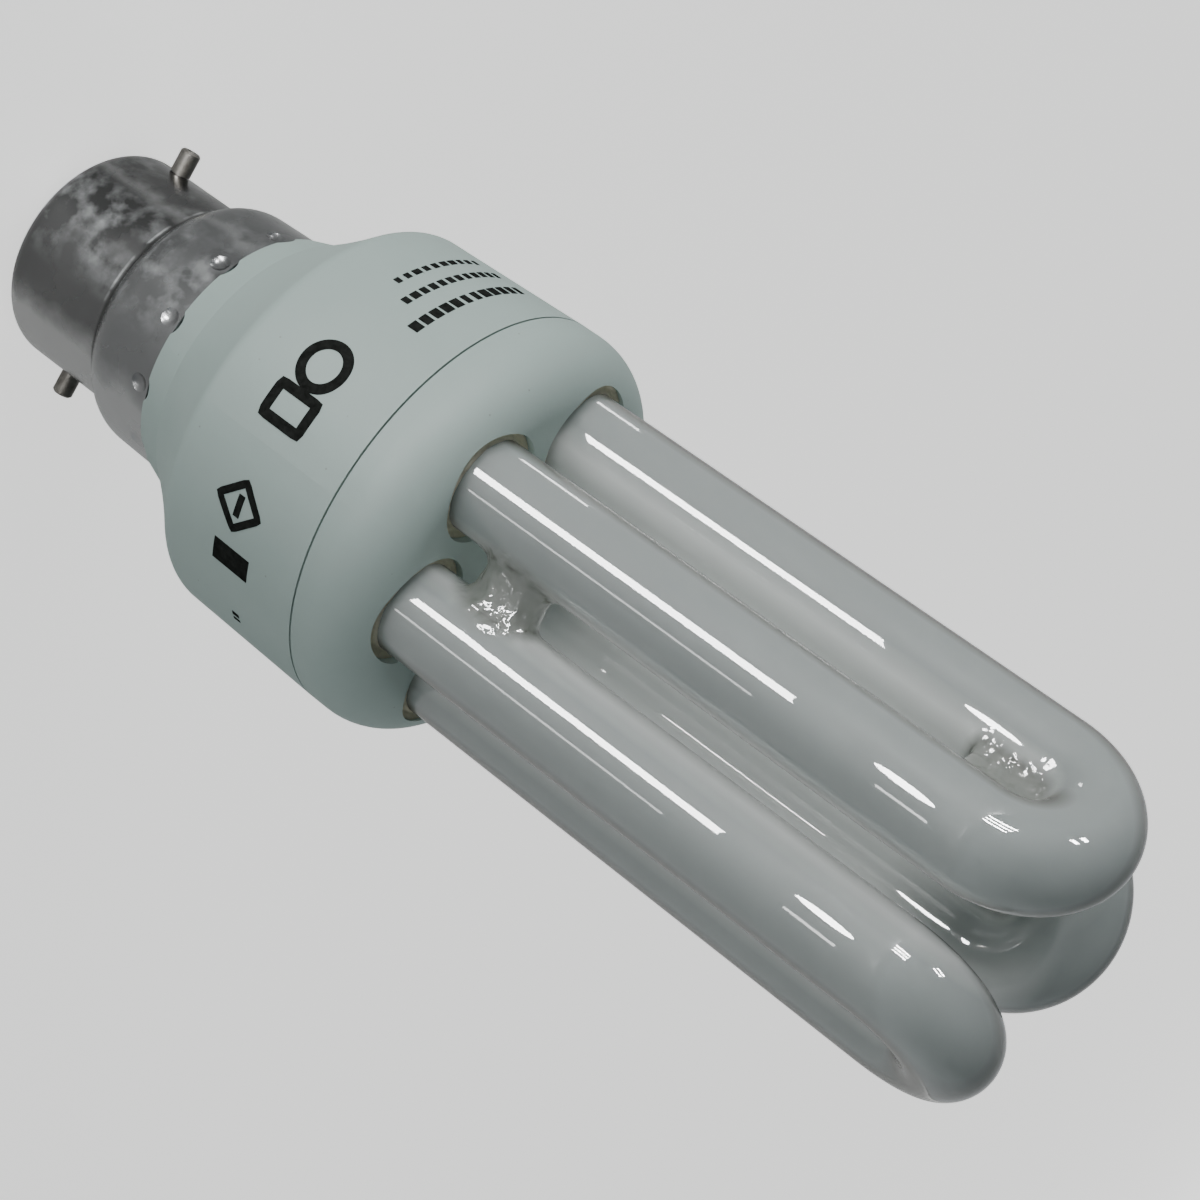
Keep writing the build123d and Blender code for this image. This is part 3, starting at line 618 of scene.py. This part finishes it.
def tube_distance(points, u_angle):
    """Distance in millimetres from points to the wall of one bent tube."""
    out, along = u_axes(u_angle)
    x = points @ along
    y = points[:, 2] - bend_z
    z = points @ out - chord_radius
    legs = numpy.hypot(numpy.abs(x) - bend_radius, z)
    below = leg_end_z - points[:, 2]
    legs = numpy.where(below > 0, numpy.hypot(legs, below), legs)
    bend = numpy.hypot(numpy.hypot(x, y) - bend_radius, z)
    return numpy.where(y > 0, bend, legs) - leg_radius


def bridge_distance(points, angle):
    """Distance from points to a short neck between two legs, narrow at its middle."""
    out, along = u_axes(angle)
    x = points @ along
    ring = numpy.hypot(points @ out - chord_radius, (points[:, 2] - bridge_z) * bridge_flatness)
    waist = bridge_waist + bridge_flare * numpy.minimum(numpy.abs(x), bridge_reach) ** 2
    return numpy.maximum(ring - waist, numpy.abs(x) - bridge_reach)


def stub_distance(points, angle):
    """Distance from points to the sealed end of the pipe that the tube was pumped through."""
    middle = numpy.array(ring_point(leg_circle, angle, 0))
    across = numpy.hypot(points[:, 0] - middle[0], points[:, 1] - middle[1])
    below = numpy.maximum(stub_low - points[:, 2], 0.0)
    above = numpy.maximum(points[:, 2] - leg_end_z, 0.0)
    return numpy.sqrt(across ** 2 + below ** 2 + above ** 2) - stub_radius


def web_distance(points, u_angle):
    """Distance from points to the pinched web inside a bend."""
    out, along = u_axes(u_angle)
    away = numpy.stack([
        numpy.abs(points @ along) - web_size[0],
        numpy.abs(points[:, 2] - bend_z - web_place) - web_size[1],
        numpy.abs(points @ out - chord_radius) - web_size[2],
    ]) + web_round
    outside = numpy.linalg.norm(numpy.maximum(away, 0.0), axis=0)
    return outside + numpy.minimum(away.max(axis=0), 0.0) - web_round


def soften(first, second, reach):
    """The nearer of two distances, with a fillet where they meet."""
    share = numpy.clip(0.5 + 0.5 * (second - first) / reach, 0.0, 1.0)
    return second * (1 - share) + first * share - reach * share * (1 - share)


def glass_distance(points):
    """Distance from points to the wall of the whole glass."""
    glass = numpy.min([tube_distance(points, angle) for angle in u_angles], axis=0)
    for angle in bridge_angles:
        glass = soften(glass, bridge_distance(points, angle), bridge_fillet)
    for angle in u_angles:
        glass = soften(glass, web_distance(points, angle), web_fillet)
    for angle in stub_angles:
        glass = soften(glass, stub_distance(points, angle), stub_fillet)
    return glass


def fold_shade_lines(points):
    """Where a bridge or a web meets a tube, from 0 to 1: the place of the painted shade in the folds."""
    tubes = numpy.min([tube_distance(points, angle) for angle in u_angles], axis=0)
    joins = [bridge_distance(points, angle) for angle in bridge_angles]
    joins += [web_distance(points, angle) for angle in u_angles]
    fold_shade = numpy.max([numpy.exp(-((tubes - join) / fold_shade_width) ** 2) for join in joins], axis=0)
    near_glass = 1.2
    return numpy.where(tubes < near_glass, fold_shade, 0.0)


def sheltered_share(points, slope):
    """How enclosed points are by the glass round them, from 0 to 1."""
    reaches = (1.5, 3.0, 5.0, 8.0)
    share = numpy.zeros(len(points))
    for reach in reaches:
        free = numpy.clip(glass_distance(points + slope * reach) / reach, 0.0, 1.0)
        share += (1.0 - free) / len(reaches)
    return share


def inner_glow_share(points):
    """Where the legs face the space between them: the place of the glass's painted glow, which stands for
    light that went through the white glass.
    """
    inner_edge, low_z, high_z = 10.8, 58.0, 106.0
    near = numpy.clip((inner_edge - numpy.hypot(points[:, 0], points[:, 1])) / 2.0, 0.0, 1.0)
    below = numpy.clip((high_z - points[:, 2]) / 8.0, 0.0, 1.0)
    above = numpy.clip((points[:, 2] - low_z) / 6.0, 0.0, 1.0)
    return near * below * above


def glass_slope(points):
    """The direction straight out of the glass at points."""
    step = 0.02
    slope = numpy.empty_like(points)
    for axis in range(3):
        shift = numpy.zeros(3)
        shift[axis] = step
        slope[:, axis] = glass_distance(points + shift) - glass_distance(points - shift)
    return slope / numpy.maximum(numpy.linalg.norm(slope, axis=1), 1e-9)[:, None]


def ease(share):
    """A share clipped to 0 and 1, with soft ends."""
    share = numpy.clip(share, 0.0, 1.0)
    return share * share * (3 - 2 * share)


def fold_share(points):
    """How near points are to the pinched inside of a bend, from 0 to 1."""
    away = numpy.min([web_distance(points, angle) for angle in u_angles], axis=0)
    return ease(1.15 - away / 1.3)


def weld_share(points):
    """How near points are to a blown bridge, from 0 to 1."""
    share = numpy.zeros(len(points))
    for angle in bridge_angles:
        along = u_axes(angle)[1]
        near = numpy.clip(1.0 - bridge_distance(points, angle) / 1.4, 0.0, 1.0)
        near = near * numpy.clip((bridge_reach + 0.3 - numpy.abs(points @ along)) / 1.2, 0.0, 1.0)
        share = numpy.maximum(share, ease(near))
    return share


def rough_glass():
    """Closed tubes and necks that lie through each other, ready to be melted into one."""
    bm = bmesh.new()
    around = 32
    up = Vector((0, 0, 1))
    leg_end = ((leg_end_z - leg_radius * 0.9, 0.4), (leg_end_z - leg_radius * 0.6, 0.8), (leg_end_z, 1.0))
    for u_angle in u_angles:
        out = ring_point(1, u_angle, 0)
        along = ring_point(1, u_angle + 90, 0)
        middle = out * chord_radius
        path = [(middle - along * bend_radius + up * z, up, size) for z, size in (*leg_end, (bend_z, 1.0))]
        for step in range(1, around + 1):
            turn = math.pi * step / around
            rise = bend_z + bend_radius * math.sin(turn)
            place = middle - along * bend_radius * math.cos(turn) + up * rise
            path.append((place, along * math.sin(turn) + up * math.cos(turn), 1.0))
        path += [(middle + along * bend_radius + up * z, -up, size) for z, size in reversed(leg_end)]
        rings = []
        for place, heading, size in path:
            side = heading.cross(out)
            ring = []
            for index in range(around):
                turn = 2 * math.pi * index / around
                spoke = side * math.cos(turn) + out * math.sin(turn)
                ring.append(bm.verts.new(place + spoke * leg_radius * size))
            rings.append(ring)
        skin(bm, rings)
    for angle in bridge_angles:
        out = ring_point(1, angle, 0)
        along = ring_point(1, angle + 90, 0)
        rings = []
        for x in (-neck_width, -1, 1, neck_width):
            ring = []
            for index in range(24):
                turn = 2 * math.pi * index / 24
                place = out * (chord_radius + neck_width * math.sin(turn)) + along * x
                ring.append(bm.verts.new(place + up * (bridge_z + neck_height * math.cos(turn))))
            rings.append(ring)
        skin(bm, rings)
    for angle in stub_angles:
        middle = ring_point(leg_circle, angle, 0)
        rings = [[bm.verts.new(middle + ring_point(size, 15 * index, z)) for index in range(24)]
                 for z, size in ((stub_low - 0.9, 0.5), (stub_low - 0.3, 1.0), (leg_end_z, stub_radius))]
        skin(bm, rings)
    for u_angle in u_angles:
        out = ring_point(1, u_angle, 0)
        along = ring_point(1, u_angle + 90, 0)
        rings = []
        for z in (-web_size[1], web_size[1]):
            ring = []
            for x, y in ((-1, -1), (1, -1), (1, 1), (-1, 1)):
                place = out * (chord_radius + y * web_size[2]) + along * x * web_size[0]
                ring.append(bm.verts.new(place + up * (bend_z + web_place + z)))
            rings.append(ring)
        skin(bm, rings)
    bmesh.ops.recalc_face_normals(bm, faces=bm.faces)
    return bm


def keep_result(piece):
    """Gives a piece the mesh that its modifiers make, and takes the modifiers off."""
    made = piece.evaluated_get(bpy.context.evaluated_depsgraph_get())
    mesh = bpy.data.meshes.new_from_object(made)
    piece.modifiers.clear()
    mesh.name = piece.name
    piece.data = mesh
    return mesh


def make_tubes():
    """The glass: rough tubes melted into one, pushed onto the true wall and wrinkled at the joins."""
    piece = new_piece("glass_tubes", rough_glass(), milky_glass)
    melt = piece.modifiers.new("melt", "REMESH")
    melt.mode = "VOXEL"
    melt.voxel_size = glass_grain
    mesh = keep_result(piece)
    count = len(mesh.vertices)
    flat = numpy.empty(count * 3, dtype=numpy.float32)
    mesh.vertices.foreach_get("co", flat)
    points = flat.reshape(count, 3).astype(float)
    for _ in range(4):
        push = numpy.clip(glass_distance(points), -longest_push, longest_push)
        points -= glass_slope(points) * push[:, None]
    slope = glass_slope(points)
    folds = fold_share(points)
    weld = weld_share(points)
    share = numpy.maximum(folds, weld)
    # How enclosed each point is, which the glass's colour turns into painted light
    sheltered = sheltered_share(points, slope)
    fold_shade = fold_shade_lines(points)
    inner = inner_glow_share(points)
    wrinkle = numpy.zeros(count)
    for index in numpy.nonzero(share > 0.001)[0]:
        place = Vector(points[index])
        wide, fine = (noise.noise(place / size) for size in wrinkle_sizes)
        wrinkle[index] = wide * 0.6 + fine * 0.4
    points += slope * ((wrinkle * wrinkle_height - wrinkle_sink) * share)[:, None]
    mesh.vertices.foreach_set("co", (points * MM).astype(numpy.float32).reshape(-1))
    broken = numpy.clip(0.35 + wrinkle * 1.6, 0.0, 1.0)
    # Kept on the mesh: the bare glass, and the places of the painted light in crevices, the painted glow on
    # the legs' inner sides and the painted shade in the folds
    for name, values in (
        ("bare_glass", share), ("sheltered", sheltered * (1 - 0.5 * share)), ("inner_side", inner),
        ("fold_line", fold_shade * broken * numpy.minimum(share * 2, 1.0)),
    ):
        stored = mesh.attributes.new(name, "FLOAT", "POINT")
        stored.data.foreach_set("value", values.astype(numpy.float32))
    mesh.materials.clear()
    mesh.materials.append(milky_glass)
    for face in mesh.polygons:
        face.use_smooth = True
    mesh.update()
    bent = numpy.empty(count * 3, dtype=numpy.float32)
    mesh.vertices.foreach_get("normal", bent)
    even = numpy.minimum(share * 4, 1.0)[:, None]
    mesh.normals_split_custom_set_from_vertices(slope * (1 - even) + bent.reshape(count, 3) * even)
    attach(piece, "root")
    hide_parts("discharge_tube")


def make_beads():
    """A lumpy ring of cement round each leg, drawn up a little against the glass and the hole."""
    bm = bmesh.new()
    around = 48
    # Radius, height and share of the lumps at each corner of a ring's section
    section = (
        (bead_inner, bead_low_z, 0.0), (bead_outer, bead_low_z, 0.0), (bead_outer, bead_z + 0.25, 0.2),
        (5.05, bead_z - 0.05, 0.6), (4.80, bead_z - 0.10, 1.0), (4.58, bead_z + 0.10, 0.8),
        (bead_inner, bead_z + 0.45, 0.4),
    )
    for leg in range(6):
        middle = ring_point(leg_circle, 30 + 60 * leg, 0)
        rings = []
        for index in range(around):
            turn = 360 * index / around
            ring = []
            for radius, z, lump in section:
                place = middle + ring_point(radius, turn, z)
                place.z += lump * bead_lump * noise.noise(place / bead_lump_size)
                ring.append(bm.verts.new(place * MM))
            rings.append(ring)
        for low, high in zip(rings, rings[1:] + rings[:1]):
            for index in range(len(section)):
                after = (index + 1) % len(section)
                bm.faces.new((low[index], low[after], high[after], high[index]))
    bmesh.ops.recalc_face_normals(bm, faces=bm.faces)
    piece = new_piece("cement_beads", bm, cement)
    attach(piece, "root")
    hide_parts("tube_cement")


# Print on the housing: plain marks and rows of short dashes
def body_radius_at(z):
    """The housing's radius at a height."""
    share = (z - body_low[0]) / (body_high[0] - body_low[0])
    return body_low[1] + (body_high[1] - body_low[1]) * share


def ink_stroke(bm, points, width, closed=False):
    """A stroke of ink along points given as an angle in degrees and a height."""
    count = len(points)
    flat = [Vector((math.radians(angle) * print_radius, z)) for angle, z in points]
    rows = []
    for index in range(count):
        before = flat[(index - 1) % count] if closed or index else flat[index]
        after = flat[(index + 1) % count] if closed or index < count - 1 else flat[index]
        heading = (after - before).normalized()
        side = Vector((-heading.y, heading.x))
        row = []
        lanes = [(ink_proud, 1 - lane / 2) for lane in range(5)] + [(-ink_buried, -1), (-ink_buried, 1)]
        for lift, edge in lanes:
            place = flat[index] + side * edge * width / 2
            radius = body_radius_at(place.y) + lift
            turn = place.x / print_radius
            spot = Vector((radius * math.cos(turn), radius * math.sin(turn), place.y))
            row.append(bm.verts.new(spot * MM))
        rows.append(row)
    pairs = list(zip(rows, rows[1:] + ([rows[0]] if closed else [])))
    for low, high in pairs:
        for index in range(len(low)):
            after = (index + 1) % len(low)
            bm.faces.new((low[index], low[after], high[after], high[index]))
    if not closed:
        bm.faces.new(reversed(rows[0]))
        bm.faces.new(rows[-1])


def between(points, steps):
    """The points of a line with more points along each of its sides."""
    out = []
    for (a0, z0), (a1, z1) in zip(points, points[1:]):
        for step in range(steps):
            share = step / steps
            out.append((a0 + (a1 - a0) * share, z0 + (z1 - z0) * share))
    out.append(points[-1])
    return out


def make_marks():
    """A ring, a box, a diamond with a bar in it and an upright bar."""
    bm = bmesh.new()
    ring_angle, ring_z, ring_size = -23.0, 42.3, (2.15, 2.05)
    ring = []
    for step in range(48):
        turn = 2 * math.pi * step / 48
        across = math.degrees(ring_size[0] * math.cos(turn) / print_radius)
        ring.append((ring_angle + across, ring_z + ring_size[1] * math.sin(turn)))
    ink_stroke(bm, ring, 0.95, closed=True)
    box = between([(-14.4, 40.1), (-6.0, 40.1), (-6.0, 44.3), (-14.4, 44.3), (-14.4, 40.1)], 10)[:-1]
    ink_stroke(bm, box, 0.95, closed=True)
    diamond = between([(17.0, 39.8), (23.4, 42.2), (17.0, 44.6), (10.6, 42.2), (17.0, 39.8)], 10)[:-1]
    ink_stroke(bm, diamond, 0.7, closed=True)
    ink_stroke(bm, between([(14.0, 42.2), (20.0, 42.2)], 6), 0.7)
    ink_stroke(bm, between([(31.9, 40.5), (31.9, 44.8)], 8), 2.3)
    bmesh.ops.recalc_face_normals(bm, faces=bm.faces)
    piece = new_piece("print_marks", bm, ink, soft=False)
    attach(piece, "root")


def make_print_tree():
    """Rows of short dashes laid round the housing."""
    tree = bpy.data.node_groups.new("print_row", "GeometryNodeTree")
    sockets = {}
    for name, value in (
        ("Count", 10), ("Radius", 0.02), ("Height", 0.04), ("Start", 0.0), ("Step", 0.05), ("Width", 0.001),
        ("Rise", 0.001), ("Seed", 1),
    ):
        kind = "NodeSocketInt" if isinstance(value, int) else "NodeSocketFloat"
        made = tree.interface.new_socket(name=name, in_out="INPUT", socket_type=kind)
        made.default_value = value
        sockets[name] = made.identifier
    tree.interface.new_socket(name="Geometry", in_out="OUTPUT", socket_type="NodeSocketGeometry")
    given = tree.nodes.new("NodeGroupInput")
    out = tree.nodes.new("NodeGroupOutput")
    row = add_node(tree, "GeometryNodeMeshLine", {"Count": given.outputs["Count"]})
    number = tree.nodes.new("GeometryNodeInputIndex")
    turn = add_node(
        tree, "ShaderNodeMath",
        {0: number.outputs[0], 1: given.outputs["Step"], 2: given.outputs["Start"]},
        operation="MULTIPLY_ADD",
    )
    lean = add_node(tree, "ShaderNodeCombineXYZ", {"Z": turn.outputs[0]})
    reach = add_node(
        tree, "ShaderNodeCombineXYZ", {"X": given.outputs["Radius"], "Z": given.outputs["Height"]}
    )
    place = add_node(
        tree, "ShaderNodeVectorRotate", {"Vector": reach.outputs[0], "Rotation": lean.outputs[0]},
        rotation_type="EULER_XYZ",
    )
    laid = add_node(
        tree, "GeometryNodeSetPosition", {"Geometry": row.outputs["Mesh"], "Position": place.outputs[0]}
    )
    size = add_node(
        tree, "ShaderNodeCombineXYZ",
        {"X": dash_depth * MM, "Y": given.outputs["Width"], "Z": given.outputs["Rise"]},
    )
    dash = add_node(tree, "GeometryNodeMeshCube", {"Size": size.outputs[0], "Vertices Y": 3})
    stretch = add_node(
        tree, "FunctionNodeRandomValue", {2: 0.55, 3: 1.0, "Seed": given.outputs["Seed"]}, data_type="FLOAT"
    )
    scale = add_node(tree, "ShaderNodeCombineXYZ", {"X": 1.0, "Y": stretch.outputs[1], "Z": 1.0})
    dashes = add_node(
        tree, "GeometryNodeInstanceOnPoints",
        {"Points": laid.outputs[0], "Instance": dash.outputs["Mesh"], "Rotation": lean.outputs[0],
         "Scale": scale.outputs[0]},
    )
    real = add_node(tree, "GeometryNodeRealizeInstances", {"Geometry": dashes.outputs[0]})
    inked = add_node(tree, "GeometryNodeSetMaterial", {"Geometry": real.outputs[0], "Material": ink})
    tree.links.new(inked.outputs[0], out.inputs[0])
    return tree, sockets


def make_print_rows():
    """Each row is made by the tree, and its result kept as a plain mesh."""
    tree, sockets = make_print_tree()
    # Name, dashes, height, first angle, step in degrees, width, rise and seed
    rows = (
        ("upper", 12, 45.5, -45.0, -3.45, 1.00, 1.15, 3),
        ("middle", 12, 42.6, -50.0, -3.10, 0.85, 0.85, 5),
        ("lower", 10, 40.2, -54.0, -3.30, 0.85, 0.70, 8),
        ("small", 2, 43.1, 51.0, 2.2, 0.55, 0.8, 4),
    )
    for name, count, z, start, step, width, rise, seed in rows:
        piece = new_piece("print_row_" + name, bmesh.new(), ink, soft=False)
        maker = piece.modifiers.new("row", "NODES")
        maker.node_group = tree
        values = {
            "Count": count, "Radius": (body_radius_at(z) - dash_sink) * MM, "Height": z * MM,
            "Start": math.radians(start), "Step": math.radians(step), "Width": width * MM,
            "Rise": rise * MM, "Seed": seed,
        }
        for socket, value in values.items():
            maker[sockets[socket]] = value
        keep_result(piece)
        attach(piece, "root")


def make_floor():
    """A wide floor under the lamp, kept out of the part."""
    bm = bmesh.new()
    bmesh.ops.create_grid(bm, x_segments=24, y_segments=24, size=4.0)
    floor = new_piece("floor", bm, make_floor_finish())


def make_camera():
    """The camera that was fitted to the photograph, with its place in millimetres."""
    data = bpy.data.cameras.new("camera")
    data.sensor_width = 36.0
    data.lens = 70.68
    data.clip_start = 0.01
    data.clip_end = 20.0
    camera = bpy.data.objects.new("camera", data)
    place = Vector((182.413, -41.521, 146.902))
    right = Vector((-0.43859, -0.50711, 0.74194))
    up = Vector((0.05517, -0.83922, -0.54099))
    back = Vector((0.89699, -0.19634, 0.39605))
    turn = Matrix((right, up, back)).transposed().to_4x4()
    camera.matrix_world = Matrix.Translation(place * MM) @ turn
    bpy.context.scene.collection.objects.link(camera)
    bpy.context.scene.camera = camera


def make_lamp(name, place, target, size, glow, glossy_only=False, matt_only=False, shape="RECTANGLE"):
    """A flat lamp in metres; the glow is how bright its face is."""
    data = bpy.data.lights.new(name, "AREA")
    data.shape = shape
    data.size, data.size_y = size
    data.energy = glow * math.pi * size[0] * size[1]
    lamp = bpy.data.objects.new(name, data)
    heading = Vector(target) - Vector(place)
    lamp.location = Vector(place)
    lamp.rotation_euler = heading.to_track_quat("-Z", "Y").to_euler()
    lamp.visible_camera = False
    lamp.visible_diffuse = not glossy_only
    lamp.visible_glossy = not matt_only
    bpy.context.scene.collection.objects.link(lamp)


def make_world():
    """A dim sky, light at its horizon, that is plain white to the camera."""
    world = bpy.data.worlds.new("studio")
    world.use_nodes = True
    sky = world.node_tree
    place = add_node(sky, "ShaderNodeTexCoord")
    apart = add_node(sky, "ShaderNodeSeparateXYZ", {0: place.outputs["Generated"]})
    rise = add_node(
        sky, "ShaderNodeMapRange", {"Value": apart.outputs["Z"], "From Min": 0.0, "From Max": 0.7}
    )
    tint = blend_colours(sky, rise.outputs["Result"], (0.90, 0.95, 0.97), (0.125, 0.135, 0.14))
    seen = add_node(sky, "ShaderNodeLightPath").outputs["Is Camera Ray"]
    level = add_node(sky, "ShaderNodeMapRange", {"Value": seen, "To Min": 0.57, "To Max": 1.0})
    sky.links.new(blend_colours(sky, seen, tint, (1.0, 1.0, 0.99)), sky.nodes["Background"].inputs["Color"])
    sky.links.new(level.outputs["Result"], sky.nodes["Background"].inputs["Strength"])
    bpy.context.scene.world = world


def make_soft_lamps():
    """Lamps that light the matt surfaces: name, place, height aimed at, size and glow."""
    lamps = (
        ("key_lamp", ring_point(0.9, -66, 0.13), 0.06, (0.5, 0.28), 11.4),
        ("front_lamp", ring_point(0.7, -10, 0.09), 0.07, (0.25, 0.14), 6.9),
        ("fill_lamp", (0.95, 0.30, 0.17), 0.06, (0.6, 0.3), 1.1),
        ("back_lamp", ring_point(2.8, 150, 0.95), 0.06, (1.8, 0.9), 4.8),
    )
    for name, place, aim_z, size, glow in lamps:
        make_lamp(name, place, (0, 0, aim_z), size, glow, matt_only=True)


def make_gloss_lamps():
    """Lamps that are seen only in the gloss, near the lamp and at the window's place."""
    front = ring_point(1, -24, 0)
    across = ring_point(1, 66, 0)
    side = ring_point(1, 14, 0)
    front_reach, side_reach = 0.120, 0.120
    strip_z, spot_z, side_strip_z, side_spot_z = 0.029, 0.0755, 0.026, 0.0745
    make_lamp("strip_lamp", front * front_reach + Vector((0, 0, strip_z)),
              front * 0.01 + Vector((0, 0, strip_z)), (0.027, 0.056), 42.0, glossy_only=True)
    make_lamp("spot_lamp", front * 0.115 + across * 0.015 + Vector((0, 0, spot_z)), (0.012, 0, spot_z),
              (0.024, 0.009), 42.0, glossy_only=True, shape="ELLIPSE")
    make_lamp("side_strip_lamp", side * side_reach + Vector((0, 0, side_strip_z)), (0, 0, side_strip_z),
              (0.008, 0.050), 6.0, glossy_only=True)
    make_lamp("side_spot_lamp", side * side_reach + Vector((0, 0, side_spot_z)), (0, 0, side_spot_z),
              (0.010, 0.008), 9.0, glossy_only=True)
    make_lamp("back_strip_lamp", (-0.032, -0.105, 0.010), (0.0126, -0.010, 0.010),
              (0.012, 0.016), 12.0, glossy_only=True)
    window_glow = 85.0
    for index, turn in enumerate((-62, -56, -50)):
        make_lamp("window_lamp_%d" % index, ring_point(0.5, turn, 0.108), (0, 0, 0.108),
                  (0.022, 0.12), window_glow, glossy_only=True)
    for index, turn in enumerate((-88, -81)):
        make_lamp("high_lamp_%d" % index, ring_point(0.45, turn, 0.33), (0, 0, 0.11),
                  (0.022, 0.07), window_glow, glossy_only=True)


make_camera()
make_floor()
make_world()
make_soft_lamps()
make_gloss_lamps()
dress_nodes()
make_tubes()
make_beads()
make_marks()
make_print_rows()
